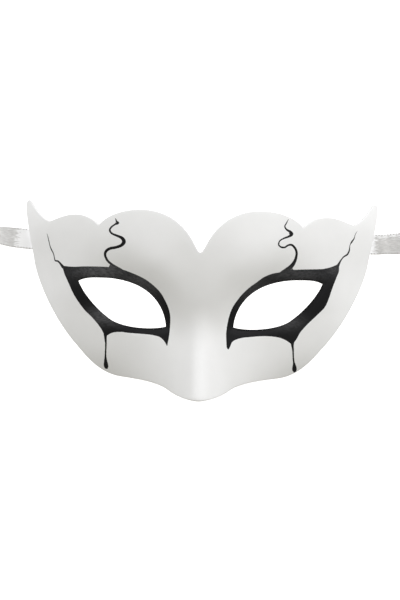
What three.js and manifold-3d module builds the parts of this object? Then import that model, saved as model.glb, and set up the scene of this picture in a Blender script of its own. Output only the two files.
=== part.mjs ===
// A carnival half mask of gessoed papier-mache with two satin ribbon ties, lying face up.
// Units are millimetres. In the mask's own frame X runs across the face, Y up the face and
// Z out of the face. The finished model is turned into its lying frame, with Z up.

import * as THREE from 'three';
import { mergeVertices } from 'three/addons/utils/BufferGeometryUtils.js';
import Module from 'manifold-3d';

// Overall sizes of the shell
const HALF_WIDTH = 95;
const WRAP_DEPTH = 62;
const WRAP_POWER = 2.2;
const SHELL_THICKNESS = 2;

// How the mask lies: on its two upper tips and its two lower cheek edges
const REST_TILT = THREE.MathUtils.degToRad(23.4);
const REST_LIFT = 46.76;
const REST_SHIFT_Y = -12.46;

// Soft forms of the face. Each is a height or depth with its place and its reach. A hollow
// is an oval with a long reach U and a short reach V, turned by some degrees.
const FOREHEAD = { from: 27.4, lean: 0.0069 };
const UPPER_TIP = { from: 36, curl: 0.016, fadeX: [70, 92] };
const GLABELLA = { height: 0.5, y: 23, reachX: 11.4, reachY: 11.4 };
const BROW = { height: 2.6, x: 20, y: 17.2, rise: 0.06, reachY: 14, innerX: [4, 32], outerX: [66, 88] };
const SOCKET = { depth: 10.8, x: 47.8, y: -6.8, reachU: 42, reachV: 24, turn: 32.5, power: 1.25 };
const LID_VALLEY = { depth: 5.5, x: 30.5, y: 0.2, reachU: 24, reachV: 9.5, turn: 48.5, power: 1 };
const TEMPLE = { height: 5.5, x: 68.4, y: 1.7, reachX: 20, reachY: 15.5 };
const CHEEK = { from: -9, curl: 0.019, fadeX: [6, 52] };
const NOSE = {
  top: -3,
  slope: 0.43,
  easeIn: 18,
  end: -50,
  endRound: 0.08,
  topSpread: 5,
  endSpread: 11,
  length: 60,
  power: 2.4,
};
const CENTRE_SOFTNESS = 10;

// Half of the outline, from the notch between the brows round to the nose. Each row is one
// cubic curve: its two handles and its end point.
const OUTLINE_START = [0, 24.8];
const OUTLINE = {
  notchFloor: [[1.2, 24.8], [2.2, 27.0], [3.4, 29.3]],
  largeLobeInner: [[7.2, 36.9], [15.6, 47.1], [32.3, 47.1]],
  largeLobeOuter: [[41.3, 47.1], [50.4, 44.0], [54.2, 38.9]],
  smallLobeInner: [[57.0, 41.8], [61.5, 44.9], [67.8, 44.9]],
  smallLobeOuter: [[73.3, 44.9], [77.9, 42.7], [82.3, 41.4]],
  tipInner: [[86.6, 42.9], [91.0, 48.3], [93.5, 52.6]],
  tipPoint: [[94.7, 54.7], [96.5, 54.2], [96.6, 51.3]],
  side: [[96.3, 44.0], [92.5, 30.5], [91.1, 21.8]],
  jaw: [[89.0, 8.8], [77.4, -12.6], [65.3, -25.4]],
  cheekEdge: [[58.4, -33.6], [52.3, -39.3], [43.6, -41.0]],
  noseWing: [[38.3, -41.9], [22.5, -42.3], [15.8, -47.4]],
  noseTip: [[11.6, -50.3], [5.2, -51.8], [0, -51.8]],
};
const OUTLINE_STEPS = 7;

// Right eye hole, from its inner corner over the top and back
const EYE_START = [17.1, -14.6];
const EYE = {
  upperInner: [[17.7, -5.5], [23.0, 2.0], [29.9, 6.1]],
  upperMiddle: [[35.5, 9.6], [44.0, 11.8], [52.5, 11.8]],
  upperOuter: [[55.6, 11.8], [61.5, 12.4], [65.8, 9.8]],
  lowerOuter: [[63.4, 3.0], [55.9, -5.6], [48.5, -11.0]],
  lowerInner: [[41.3, -16.2], [24.7, -16.9], [17.1, -14.6]],
};
const EYE_STEPS = 6;

// Grid of the plate that the shell is cut from. The plate is domed, which keeps its grid
// points through the cut.
const GRID = { halfX: 100, minY: -56, maxY: 58, step: 3.5 };
const DOME_RADIUS = 150;
const PUNCH_DEPTH = 70;

// The two satin ribbon ties. Each is glued flat inside the shell, passes under its side edge,
// runs outward on the table, turns slowly onto its edge and ends in a loose round coil.
const RIBBON_WIDTH = 12;
const RIBBON_THICKNESS = 0.4;
const RIBBON_EXIT_X = 91.7;

// Where each ribbon comes out, its heading on the table, and how it leans and drifts down the
// face inside the shell
const RIBBON_LAY = {
  right: { exitY: 41.9, heading: 2.5, lean: 0.48, drift: 0.58 },
  left: { exitY: 42.3, heading: 5.5, lean: 0.51, drift: 0.43 },
};
const DRIFT_START = -1;
const DRIFT_EASE = 4;
const TABLE_CLEARANCE = 0.1;

// Points of the ribbon's centre line: distance outward from the side edge, and height
const RIBBON_ROUTE = [
  [-20.5, 24.5], [-18, 22.2], [-15.5, 19.8], [-12.4, 16.6], [-11, 14.9],
  [-8.4, 11.1], [-5.7, 6.5], [-2.7, 2.2], [0.3, 0.7], [3.3, 0.38], [6.3, 0.32],
  [9.5, 0.39], [14, 0.87], [20, 2.05], [27, 3.75], [34, 5.15],
  [40, 5.84], [47, 6.06], [54, 6.1], [64, 6.1],
];
const RIBBON_STEPS = 60;

// Inside the shell the ribbon leans with the inner surface, and the lean fades to the edge
const LEAN_FADE = [-11, 0];
const TWIST_SPAN = [7, 54];
const COIL = { tangentAt: 74.3, outerTurn: 52.5, outerRadius: 53, innerRadius: 45, sides: 48 };

const bell = (t) => Math.exp(-t * t);

function rampUp([from, to], value) {
  return THREE.MathUtils.smoothstep(value, from, to);
}

function noseHeight(a, y) {
  const run = Math.max(0, NOSE.top - y);
  const over = Math.max(0, NOSE.end - y);
  const ridge = (NOSE.slope * run * run) / (run + NOSE.easeIn) - NOSE.endRound * over * over;
  const share = THREE.MathUtils.clamp(run / NOSE.length, 0, 1.2);
  const spread = THREE.MathUtils.lerp(NOSE.topSpread, NOSE.endSpread, share);
  return ridge * Math.exp(-Math.pow(a / spread, NOSE.power));
}

function hollowDepth(form, x, y) {
  const turn = THREE.MathUtils.degToRad(form.turn);
  const dx = Math.hypot(x, CENTRE_SOFTNESS) - form.x;
  const dy = y - form.y;
  const u = (dx * Math.cos(turn) + dy * Math.sin(turn)) / form.reachU;
  const v = (dy * Math.cos(turn) - dx * Math.sin(turn)) / form.reachV;
  return form.depth * Math.exp(-Math.pow(u * u + v * v, form.power));
}

function roundForm(form, a, y) {
  return bell((a - form.x) / form.reachX) * bell((y - form.y) / form.reachY);
}

// Height of the outer surface over the mask's own XY plane
function faceHeight(x, y) {
  const a = Math.abs(x);
  const wrap = WRAP_DEPTH * Math.pow(a / HALF_WIDTH, WRAP_POWER);
  const forehead = FOREHEAD.lean * Math.max(0, y - FOREHEAD.from) ** 2;
  const tip = UPPER_TIP.curl * Math.max(0, y - UPPER_TIP.from) ** 2 * rampUp(UPPER_TIP.fadeX, a);
  const glabella = GLABELLA.height * roundForm({ x: 0, ...GLABELLA }, a, y);
  const browLine = BROW.y + BROW.rise * (a - BROW.x);
  const browLength = rampUp(BROW.innerX, a) * (1 - rampUp(BROW.outerX, a));
  const brow = BROW.height * bell((y - browLine) / BROW.reachY) * browLength;
  const temple = TEMPLE.height * roundForm(TEMPLE, a, y);
  const cheek = CHEEK.curl * Math.max(0, CHEEK.from - y) ** 2 * rampUp(CHEEK.fadeX, a);
  const raised = glabella + brow + temple + noseHeight(a, y);
  const sunk = hollowDepth(SOCKET, x, y) + hollowDepth(LID_VALLEY, x, y) + cheek;
  return raised - sunk - wrap - forehead - tip;
}

function faceNormal(x, y) {
  const e = 0.05;
  const slopeX = (faceHeight(x + e, y) - faceHeight(x - e, y)) / (2 * e);
  const slopeY = (faceHeight(x, y + e) - faceHeight(x, y - e)) / (2 * e);
  return new THREE.Vector3(-slopeX, -slopeY, 1).normalize();
}

// A point at a depth below the outer surface, measured along its normal
function shellPoint(x, y, depth) {
  const outer = new THREE.Vector3(x, y, faceHeight(x, y));
  return outer.addScaledVector(faceNormal(x, y), -depth);
}

// Points of a chain of cubic curves, without its last point
function chainPoints(start, rows, steps) {
  const points = [];
  let from = start;
  for (const [handleA, handleB, to] of rows) {
    const ends = [from, handleA, handleB, to].map(([x, y]) => new THREE.Vector2(x, y));
    const curve = new THREE.CubicBezierCurve(...ends);
    points.push(...curve.getPoints(steps).slice(0, steps));
    from = to;
  }
  return points;
}

const mirrored = (points) => points.map((p) => new THREE.Vector2(-p.x, p.y)).reverse();

function outlineShape() {
  const rows = Object.values(OUTLINE);
  const right = chainPoints(OUTLINE_START, rows, OUTLINE_STEPS);
  const lowest = new THREE.Vector2(...rows.at(-1)[2]);
  const shape = new THREE.Shape([...right, lowest, ...mirrored(right.slice(1))].reverse());
  const eye = chainPoints(EYE_START, Object.values(EYE), EYE_STEPS);
  shape.holes.push(new THREE.Path(eye), new THREE.Path(mirrored(eye)));
  return shape;
}

function domeHeight(x, y) {
  return -(x * x + y * y) / (2 * DOME_RADIUS);
}

function domedPlate() {
  const width = 2 * GRID.halfX;
  const height = GRID.maxY - GRID.minY;
  const columns = Math.round(width / GRID.step);
  const rows = Math.round(height / GRID.step);
  const plate = new THREE.BoxGeometry(width, height, SHELL_THICKNESS, columns, rows, 1);
  plate.translate(0, (GRID.maxY + GRID.minY) / 2, -SHELL_THICKNESS / 2);
  const position = plate.attributes.position;
  for (let i = 0; i < position.count; i += 1) {
    const lift = domeHeight(position.getX(i), position.getY(i));
    position.setZ(i, position.getZ(i) + lift);
  }
  return plate;
}

const wasm = await Module();
wasm.setup();

function solidOf(geometry) {
  const bare = geometry.clone();
  bare.deleteAttribute('normal');
  bare.deleteAttribute('uv');
  const merged = mergeVertices(bare, 1e-4);
  return new wasm.Manifold(new wasm.Mesh({
    numProp: 3,
    vertProperties: merged.attributes.position.array,
    triVerts: Uint32Array.from(merged.index.array),
  }));
}

function geometryOf(solid) {
  const mesh = solid.getMesh();
  const geometry = new THREE.BufferGeometry();
  geometry.setAttribute('position', new THREE.BufferAttribute(mesh.vertProperties, 3));
  geometry.setIndex(new THREE.BufferAttribute(mesh.triVerts, 1));
  return geometry;
}

function cutPlate() {
  const punch = new THREE.ExtrudeGeometry(outlineShape(), {
    depth: PUNCH_DEPTH,
    bevelEnabled: false,
  });
  punch.translate(0, 0, SHELL_THICKNESS - PUNCH_DEPTH);
  return geometryOf(solidOf(domedPlate()).intersect(solidOf(punch)));
}

// Bends the cut plate onto the face, keeping its thickness square to the surface
function bendOntoFace(geometry) {
  const position = geometry.attributes.position;
  for (let i = 0; i < position.count; i += 1) {
    const x = position.getX(i);
    const y = position.getY(i);
    const below = domeHeight(x, y) - position.getZ(i);
    const depth = below > SHELL_THICKNESS / 2 ? SHELL_THICKNESS : 0;
    const point = shellPoint(x, y, depth);
    position.setXYZ(i, point.x, point.y, point.z);
  }
}

function layDown(geometry) {
  geometry.rotateX(REST_TILT);
  geometry.translate(0, REST_SHIFT_Y, REST_LIFT);
}

// Takes off what would sink into the table, which leaves the four small flat spots
function cutFlatSpots(geometry) {
  const size = 4 * HALF_WIDTH;
  const table = new THREE.BoxGeometry(size, size, HALF_WIDTH);
  table.translate(0, 0, -HALF_WIDTH / 2);
  return geometryOf(solidOf(geometry).subtract(solidOf(table)));
}

function maskShell() {
  const plate = cutPlate();
  bendOntoFace(plate);
  layDown(plate);
  const geometry = cutFlatSpots(plate);
  geometry.computeVertexNormals();
  const paint = new THREE.MeshStandardMaterial({ color: '#e9e9e6', roughness: 0.55, metalness: 0 });
  const mesh = new THREE.Mesh(geometry, paint);
  mesh.name = 'mask_shell';
  return mesh;
}

function satin() {
  return new THREE.MeshStandardMaterial({ color: '#d8d8da', roughness: 0.35, metalness: 0 });
}

// Flat section with its four long edges taken off
function ribbonSection() {
  const w = RIBBON_WIDTH / 2;
  const t = RIBBON_THICKNESS / 2;
  const corners = [
    [-w, -t / 2], [-w + t, -t], [w - t, -t], [w, -t / 2],
    [w, t / 2], [w - t, t], [-w + t, t], [-w, t / 2],
  ];
  return new THREE.Shape(corners.map(([x, y]) => new THREE.Vector2(x, y)));
}

// Height of the centre line over a point of the route, by straight steps between its samples
function heightAlong(samples, distance) {
  const found = samples.findIndex((p) => p.x >= distance);
  const next = found < 1 ? samples.length - 1 : found;
  const from = samples[next - 1];
  const to = samples[next];
  return THREE.MathUtils.mapLinear(distance, from.x, to.x, from.z, to.z);
}

function driftAt(lay, distance) {
  const run = Math.max(0, DRIFT_START - distance);
  return (-lay.drift * run * run) / (run + DRIFT_EASE);
}

function ribbonLead(side, lay) {
  const points = RIBBON_ROUTE.map(([distance, z]) => new THREE.Vector3(distance, 0, z));
  const route = new THREE.CatmullRomCurve3(points, false, 'centripetal');
  const samples = route.getSpacedPoints(10 * RIBBON_STEPS);
  const geometry = new THREE.ExtrudeGeometry(ribbonSection(), {
    steps: RIBBON_STEPS,
    extrudePath: route,
  });
  const position = geometry.attributes.position;
  for (let i = 0; i < position.count; i += 1) {
    const distance = position.getX(i);
    const lean = side * lay.lean * (1 - rampUp(LEAN_FADE, distance));
    const across = position.getY(i) / Math.hypot(1, lean);
    const turn = (Math.PI / 2) * rampUp(TWIST_SPAN, distance);
    const z = position.getZ(i) + lean * across;
    if (distance > TWIST_SPAN[0]) {
      const centre = heightAlong(samples, distance);
      const up = z - centre;
      position.setY(i, across * Math.cos(turn) - up * Math.sin(turn));
      position.setZ(i, centre + across * Math.sin(turn) + up * Math.cos(turn));
    } else {
      position.setY(i, across + side * driftAt(lay, distance));
      position.setZ(i, z);
    }
  }
  return geometry;
}

function ribbonCoil(side) {
  const low = TABLE_CLEARANCE;
  const high = low + RIBBON_WIDTH;
  const profile = [
    [COIL.innerRadius, low], [COIL.outerRadius, low], [COIL.outerRadius, high],
    [COIL.innerRadius, high], [COIL.innerRadius, low],
  ].map(([r, z]) => new THREE.Vector2(r, z));
  const geometry = new THREE.LatheGeometry(profile, COIL.sides);
  geometry.rotateX(Math.PI / 2);
  geometry.translate(COIL.tangentAt, -side * COIL.outerTurn, 0);
  return geometry;
}

// One tie, with its lead and its coil. The right tie has side 1 and the left one side -1.
function ribbonTie(name, side, lay) {
  const heading = THREE.MathUtils.degToRad(lay.heading);
  const tie = new THREE.Group();
  tie.position.set(side * RIBBON_EXIT_X, lay.exitY, 0);
  tie.rotation.z = side > 0 ? heading : Math.PI - heading;
  const lead = new THREE.Mesh(ribbonLead(side, lay), satin());
  lead.name = name;
  const coil = new THREE.Mesh(ribbonCoil(side), satin());
  coil.name = `${name}_coil`;
  tie.add(lead, coil);
  return tie;
}

const mask = new THREE.Group();
mask.name = 'carnival_mask';
mask.add(maskShell());
mask.add(ribbonTie('ribbon_right', 1, RIBBON_LAY.right));
mask.add(ribbonTie('ribbon_left', -1, RIBBON_LAY.left));

export default mask;
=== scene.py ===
# %% [markdown]
# A carnival half mask with two satin ties, lying face up on a pale table.
# It is made as papier-mache pressed into a mould, sealed with gesso, painted a dull off-white and
# then decorated by hand with black acrylic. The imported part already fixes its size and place,
# so this lesson only dresses it: a fine shell, two ribbons, their finishes, a table and some light.

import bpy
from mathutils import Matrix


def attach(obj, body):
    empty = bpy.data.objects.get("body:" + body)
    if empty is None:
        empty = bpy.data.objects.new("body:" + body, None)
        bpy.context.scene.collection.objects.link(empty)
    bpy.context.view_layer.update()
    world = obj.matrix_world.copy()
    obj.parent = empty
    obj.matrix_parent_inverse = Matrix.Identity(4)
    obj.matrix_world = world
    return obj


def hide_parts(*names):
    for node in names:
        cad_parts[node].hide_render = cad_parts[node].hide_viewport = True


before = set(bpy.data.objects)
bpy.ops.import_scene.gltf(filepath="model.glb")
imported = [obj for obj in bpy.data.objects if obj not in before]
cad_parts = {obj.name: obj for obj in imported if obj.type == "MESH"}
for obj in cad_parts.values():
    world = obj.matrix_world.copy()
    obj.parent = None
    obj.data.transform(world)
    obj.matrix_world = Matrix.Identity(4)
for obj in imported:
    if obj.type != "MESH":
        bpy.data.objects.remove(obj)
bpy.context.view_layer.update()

# %% [markdown]
# Blender builds the pieces, numpy does the sums on many points at once, and a triangulation cuts
# the sheet of the shell. Sizes are in millimetres up to the last step, as on a maker's drawing.

# %% Tools and units
import math

import bpy
import numpy as np
from mathutils import Matrix, Vector
from mathutils.geometry import delaunay_2d_cdt

MM = 0.001

# %% [markdown]
# Everything is planned in the mask's own frame, in millimetres: X runs across the face, Y up the
# face and Z out of it. That is how a maker thinks of a face. The loose mask lies tilted on its two
# upper tips and its two cheek edges, so one matrix lays each finished shape down on the table.

# %% How the mask lies
REST_TILT = math.radians(23.4)
REST_LIFT = 46.76
REST_SHIFT_Y = -12.46
LYING = Matrix.Translation((0, REST_SHIFT_Y, REST_LIFT)) @ Matrix.Rotation(REST_TILT, 4, "X")


def lay_down(points):
    """Points in the mask's frame, in mm, as points on the table, in metres."""
    turn = np.array(LYING.to_3x3())
    return (np.asarray(points) @ turn.T + np.array(LYING.translation)) * MM


print("Origin of the mask's frame on the table:", lay_down([(0, 0, 0)]).round(4))

# %% [markdown]
# The camera looks straight at the face, like a catalogue photograph. A long lens from 1.3 metres
# keeps the shape flat and true. The small yaw and roll turn the view as the photograph has it.

# %% Camera
VIEW_DISTANCE = 1300.0
PIXEL_SIZE = 0.52  # millimetres on the mask's own plane for one pixel of the picture
PICTURE_HEIGHT = 600
VIEW_YAW = math.radians(0.4)
VIEW_ROLL = math.radians(0.8)
VIEW_AIM = Vector((0.11, 0.08, 0))
SENSOR = 36.0
CLIP_NEAR = 0.05
CLIP_FAR = 20

away = Vector((math.sin(VIEW_YAW), 0, math.cos(VIEW_YAW)))
level = Vector((0, 1, 0)).cross(away)
view_right = level * math.cos(VIEW_ROLL) + Vector((0, 1, 0)) * math.sin(VIEW_ROLL)
view_up = away.cross(view_right)
aim = Matrix((view_right, view_up, away)).transposed().to_4x4()
aim.translation = VIEW_AIM + away * VIEW_DISTANCE

camera = bpy.data.objects.new("camera", bpy.data.cameras.new("camera"))
bpy.context.scene.collection.objects.link(camera)
placed = LYING @ aim
placed.translation *= MM
camera.matrix_world = placed
camera.data.sensor_width = SENSOR
camera.data.lens = SENSOR * VIEW_DISTANCE / (PICTURE_HEIGHT * PIXEL_SIZE)
camera.data.clip_start = CLIP_NEAR
camera.data.clip_end = CLIP_FAR
bpy.context.scene.camera = camera
print("Lens", round(camera.data.lens, 1), "mm")

# %% [markdown]
# Two helpers shape every curve here. A centripetal Catmull-Rom curve runs smoothly through a few
# given points, which suits ribbons and brush strokes. A chain of cubic curves keeps its sharp
# corners, which suits the cut outline of the mask.

# %% Curve helpers
BEND_ALLOWANCE = 1.05  # how much longer a cubic curve may be than the line between its ends


def smooth_curve(points, spacing):
    """Points about a spacing apart on a centripetal Catmull-Rom curve through the given ones."""
    given = np.asarray(points, float)
    ends = np.vstack([2 * given[0] - given[1], given, 2 * given[-1] - given[-2]])
    found = []
    for a, b, c, d in zip(ends, ends[1:], ends[2:], ends[3:]):
        t1 = np.linalg.norm(b - a) ** 0.5
        t2 = t1 + np.linalg.norm(c - b) ** 0.5
        t3 = t2 + np.linalg.norm(d - c) ** 0.5
        count = max(1, math.ceil(np.linalg.norm(c - b) / spacing))
        t = np.linspace(t1, t2, count, endpoint=False)[:, None]
        ab = ((t1 - t) * a + t * b) / t1
        bc = ((t2 - t) * b + (t - t1) * c) / (t2 - t1)
        cd = ((t3 - t) * c + (t - t2) * d) / (t3 - t2)
        left = ((t2 - t) * ab + t * bc) / t2
        right = ((t3 - t) * bc + (t - t1) * cd) / (t3 - t1)
        found.append(((t2 - t) * left + (t - t1) * right) / (t2 - t1))
    return np.vstack([*found, given[-1]])


def cubic_chain(start, rows, spacing):
    """Points along a chain of cubic curves, without its last point."""
    found = []
    first = np.array(start, float)
    for row in rows:
        handle_a, handle_b, last = (np.array(p, float) for p in row)
        count = max(2, math.ceil(np.linalg.norm(last - first) * BEND_ALLOWANCE / spacing))
        t = np.linspace(0, 1, count, endpoint=False)[:, None]
        s = 1 - t
        early = s**3 * first + 3 * s * s * t * handle_a
        found.append(early + 3 * s * t * t * handle_b + t**3 * last)
        first = last
    return np.vstack(found)


def ramp(low, high, value):
    """A smooth step from 0 at low to 1 at high."""
    t = np.clip((value - low) / (high - low), 0, 1)
    return t * t * (3 - 2 * t)


def make_piece(name, points, faces):
    """A smooth-shaded mesh object from points in metres."""
    mesh = bpy.data.meshes.new(name)
    mesh.from_pydata([tuple(p) for p in points], [], [tuple(f) for f in faces])
    mesh.shade_smooth()
    mesh.validate()
    piece = bpy.data.objects.new(name, mesh)
    bpy.context.scene.collection.objects.link(piece)
    return piece


def write_numbers(piece, name, values):
    """One number for each point of a piece, which its material can read."""
    attribute = piece.data.attributes.new(name, "FLOAT", "POINT")
    attribute.data.foreach_set("value", np.asarray(values, np.float32))


print("After a quarter of its way a soft step is", round(float(ramp(0, 4, 1)), 2), "up")

# %% [markdown]
# Each tie is one length of 12 mm satin ribbon, glued flat inside the shell. It comes out under the
# side edge and runs outward on the table. On its way it turns slowly onto its edge, and it ends in
# a loose round coil that stands on the table just outside the picture. The stretch to the coil
# follows given points. The coil is a spiral worked out by its radius, so the whole ribbon
# gets its full length.

# %% Ribbon route
RIBBON_WIDTH = 12.0
RIBBON_THICKNESS = 0.35
RIBBON_LENGTH = 550.0
RIBBON_EXIT_X = 91.7
# The last two numbers of each tie set where a highlight is painted into the satin's colour: how far
# along from its inner end, and how close to one edge.
RIBBON_LAY = {
    "right": dict(
        side=1, exit_y=41.9, heading=2.5, lean=0.48, drift=0.58, painted_highlight_end=36.5, painted_edge_highlight=2.0),
    "left": dict(
        side=-1, exit_y=42.3, heading=5.5, lean=0.51, drift=0.43, painted_highlight_end=42.0, painted_edge_highlight=-1.0),
}
DRIFT_START = -1.0
DRIFT_EASE = 4.0
RIBBON_ROUTE = [
    (-20.5, 24.5), (-18, 22.2), (-15.5, 19.8), (-12.4, 16.6), (-11, 14.9),
    (-8.4, 11.1), (-5.7, 6.5), (-2.7, 2.2), (0.3, 0.7), (3.3, 0.38), (6.3, 0.32),
    (9.5, 0.39), (14, 0.87), (20, 2.05), (27, 3.75), (34, 5.15),
    (40, 5.84), (47, 6.06), (54, 6.1), (64, 6.1), (74.3, 6.1),
]
LEAN_FADE = (-11, 0)
TWIST_SPAN = (7, 54)
GLUED_END = -12.4
COIL_RADIUS = 52.3
COIL_PITCH = 5.0
COIL_STEP = 2.0
ROUTE_STEP = 1.2


def ribbon_line(lay):
    """Centre line in the tie's own frame, with the ribbon's turn and lean at each point."""
    side = lay["side"]
    flat = smooth_curve(RIBBON_ROUTE, ROUTE_STEP)
    run = np.maximum(0, DRIFT_START - flat[:, 0])
    drift = -side * lay["drift"] * run**2 / (run + DRIFT_EASE)
    lead = np.column_stack([flat[:, 0], drift, flat[:, 1]])
    lead_length = np.linalg.norm(np.diff(lead, axis=0), axis=1).sum()
    # The mean radius of the spiral depends on its turns, so the turns come from a quadratic.
    rest = RIBBON_LENGTH - lead_length
    turns = (COIL_RADIUS - math.sqrt(COIL_RADIUS**2 - COIL_PITCH * rest / math.pi)) / COIL_PITCH
    angle = np.linspace(0, 2 * math.pi * turns, math.ceil(rest / COIL_STEP))[1:]
    radius = COIL_RADIUS - COIL_PITCH * angle / (2 * math.pi)
    end_s, end_z = RIBBON_ROUTE[-1]
    coil = np.column_stack([
        end_s + radius * np.sin(angle),
        side * (radius * np.cos(angle) - COIL_RADIUS),
        np.full(len(angle), end_z),
    ])
    line = np.vstack([lead, coil])
    distance = np.concatenate([lead[:, 0], np.full(len(coil), end_s)])
    turned = math.pi / 2 * ramp(*TWIST_SPAN, distance)
    lean = side * lay["lean"] * (1 - ramp(*LEAN_FADE, distance))
    return line, turned, lean


line, _, _ = ribbon_line(RIBBON_LAY["right"])
print("Ribbon length", round(float(np.linalg.norm(np.diff(line, axis=0), axis=1).sum()), 1), "mm")

# %% [markdown]
# A satin ribbon is thin, but it isn't a sheet without thickness: its two woven edges, the
# selvages, are a little fuller than the middle. The cross-section is therefore a closed ring of
# points, swept along the line. Slight cockles along the length keep it from looking like tape.
# Each point also keeps its place along and across the ribbon and how far it lies inside the bright
# stretch beside the mask and the strip along one edge, where a highlight is painted into the colour,
# which the weave and that painted highlight need later.

# %% Ribbon pieces
ACROSS_STEPS = 14
SELVAGE_WIDTH = 0.9
SELVAGE_FULLNESS = 1.25
SELVAGE_ROUND = 0.2
COCKLE_HEIGHT = 0.22
COCKLE_LENGTH = 17.0
COCKLE_START = (0, 8)


def ribbon_ring():
    """Across and thickness positions of the closed section, from edge to edge and back."""
    across = RIBBON_WIDTH / 2 * np.sin(np.linspace(-math.pi / 2, math.pi / 2, ACROSS_STEPS + 1))
    edge = RIBBON_WIDTH / 2 - np.abs(across)
    full = np.where(edge < SELVAGE_WIDTH, SELVAGE_FULLNESS, 1.0)
    half = RIBBON_THICKNESS / 2 * full * np.sqrt(np.clip(edge / SELVAGE_ROUND, 0, 1))
    return (
        np.concatenate([across, across[-2:0:-1]]),
        np.concatenate([half, -half[-2:0:-1]]),
    )


def make_ribbon(name, lay):
    """A ribbon as one closed piece, its centre line, and the point where it leaves the shell."""
    side = lay["side"]
    line, turned, lean = ribbon_line(lay)
    along = np.concatenate([[0], np.cumsum(np.linalg.norm(np.diff(line, axis=0), axis=1))])
    tangent = np.gradient(line, axis=0)
    tangent /= np.linalg.norm(tangent, axis=1)[:, None]
    flat_across = np.column_stack([-tangent[:, 1], tangent[:, 0], np.zeros(len(line))])
    flat_across /= np.linalg.norm(flat_across, axis=1)[:, None]
    # Glued inside the shell, its width runs up the face.
    flat_across[line[:, 0] < 0] = (0, 1, 0)
    up = np.cross(tangent, flat_across)
    width_way = flat_across * np.cos(turned)[:, None] + up * np.sin(turned)[:, None]
    thick_way = np.cross(tangent, width_way)
    thick_way /= np.linalg.norm(thick_way, axis=1)[:, None]
    across, thick = ribbon_ring()
    free = ramp(*COCKLE_START, line[:, 0]) * (1 - turned / (math.pi / 2))
    wave = 0.5 - 0.5 * np.cos(2 * math.pi * along / COCKLE_LENGTH)
    cockle = COCKLE_HEIGHT * np.outer(free * wave, (2 * across / RIBBON_WIDTH) ** 2)
    reach = np.outer(1 / np.hypot(1, lean), across)
    points = (
        line[:, None]
        + width_way[:, None] * reach[:, :, None]
        + thick_way[:, None] * (thick + cockle)[:, :, None]
    )
    points[:, :, 2] += lean[:, None] * reach
    turn = math.radians(lay["heading"] if side > 0 else 180 - lay["heading"])
    place = np.array(Matrix.Rotation(turn, 3, "Z"))
    origin = np.array([side * RIBBON_EXIT_X, lay["exit_y"], 0])
    ring = len(across)
    last = (len(line) - 1) * ring
    quads = [
        (row + j, row + (j + 1) % ring, row + ring + (j + 1) % ring, row + ring + j)
        for row in range(0, last, ring)
        for j in range(ring)
    ]
    ends = [tuple(range(ring - 1, -1, -1)), tuple(range(last, last + ring))]
    piece = make_piece(name, (points.reshape(-1, 3) @ place.T + origin) * MM, quads + ends)
    write_numbers(piece, "along_mm", np.repeat(along, ring))
    write_numbers(piece, "across_mm", np.tile(across, len(line)))
    # A highlight is painted into the satin near the mask and along one edge; these numbers say where.
    near_mask = np.repeat(lay["painted_highlight_end"] - along, ring)
    near_edge = lay["painted_edge_highlight"] - (RIBBON_WIDTH / 2 - side * np.tile(across, len(line)))
    write_numbers(piece, "in_painted_highlight", np.maximum(near_mask, near_edge))
    centre = (line @ place.T + origin) * MM
    leaves = int(np.argmin(np.abs(line[:, 0] - GLUED_END)))
    return piece, centre, centre[leaves]


ribbons = {}
for name, lay in RIBBON_LAY.items():
    node = f"ribbon_{name}"
    piece, centre, leaves = make_ribbon(f"satin_tie_{name}", lay)
    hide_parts(node, node + "_coil")
    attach(piece, "root")
    ribbons[name] = piece
    print(piece.name, len(piece.data.polygons), "faces, leaves the shell at", leaves.round(4))

# %% [markdown]
# The shell's form is one height for each place on the face, made of a few soft bells and ramps:
# the wrap round the head, the lean of the forehead, brows, sockets, nose and cheeks. These are the
# part's own numbers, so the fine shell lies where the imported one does. Round the eye holes the fine
# shell also rolls inward a little.

# %% Soft forms of the face
HALF_WIDTH = 95.0
WRAP_DEPTH = 62.0
WRAP_POWER = 2.2
SHELL_THICKNESS = 2.0
FOREHEAD = dict(start=27.4, lean=0.0069)
UPPER_TIP = dict(start=36, curl=0.016, fade=(70, 92))
BETWEEN_BROWS = dict(height=0.5, x=0, y=23, reach_x=11.4, reach_y=11.4)
BROW = dict(height=2.6, x=20, y=17.2, rise=0.06, reach_y=14, inner=(4, 32), outer=(66, 88))
SOCKET = dict(depth=10.8, x=47.8, y=-6.8, reach_u=42, reach_v=24, turn=32.5, power=1.25)
LID_VALLEY = dict(depth=5.5, x=30.5, y=0.2, reach_u=24, reach_v=9.5, turn=48.5, power=1)
TEMPLE = dict(height=5.5, x=68.4, y=1.7, reach_x=20, reach_y=15.5)
CHEEK = dict(start=-9, curl=0.019, fade=(6, 52))
NOSE = dict(
    top=-3, slope=0.43, ease=18, end=-50, end_round=0.08,
    spread=(5, 11), length=60, widest=1.2, power=2.4,
)
CENTRE_SOFTNESS = 10.0


def round_form(form, a, y):
    """A soft swelling, as high as its form says in the middle."""
    u = (a - form["x"]) / form["reach_x"]
    v = (y - form["y"]) / form["reach_y"]
    return form["height"] * np.exp(-u * u - v * v)


def hollow(form, x, y):
    """A soft hollow that lies at a slant, the same on both sides of the face."""
    turn = math.radians(form["turn"])
    dx = np.hypot(x, CENTRE_SOFTNESS) - form["x"]
    dy = y - form["y"]
    u = (dx * math.cos(turn) + dy * math.sin(turn)) / form["reach_u"]
    v = (dy * math.cos(turn) - dx * math.sin(turn)) / form["reach_v"]
    return form["depth"] * np.exp(-((u * u + v * v) ** form["power"]))


def nose_height(a, y):
    """The ridge of the nose, which rises and widens from its root to its end."""
    run = np.maximum(0, NOSE["top"] - y)
    over = np.maximum(0, NOSE["end"] - y)
    ridge = NOSE["slope"] * run * run / (run + NOSE["ease"]) - NOSE["end_round"] * over**2
    share = np.clip(run / NOSE["length"], 0, NOSE["widest"])
    spread = NOSE["spread"][0] + (NOSE["spread"][1] - NOSE["spread"][0]) * share
    return ridge * np.exp(-((a / spread) ** NOSE["power"]))


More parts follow.
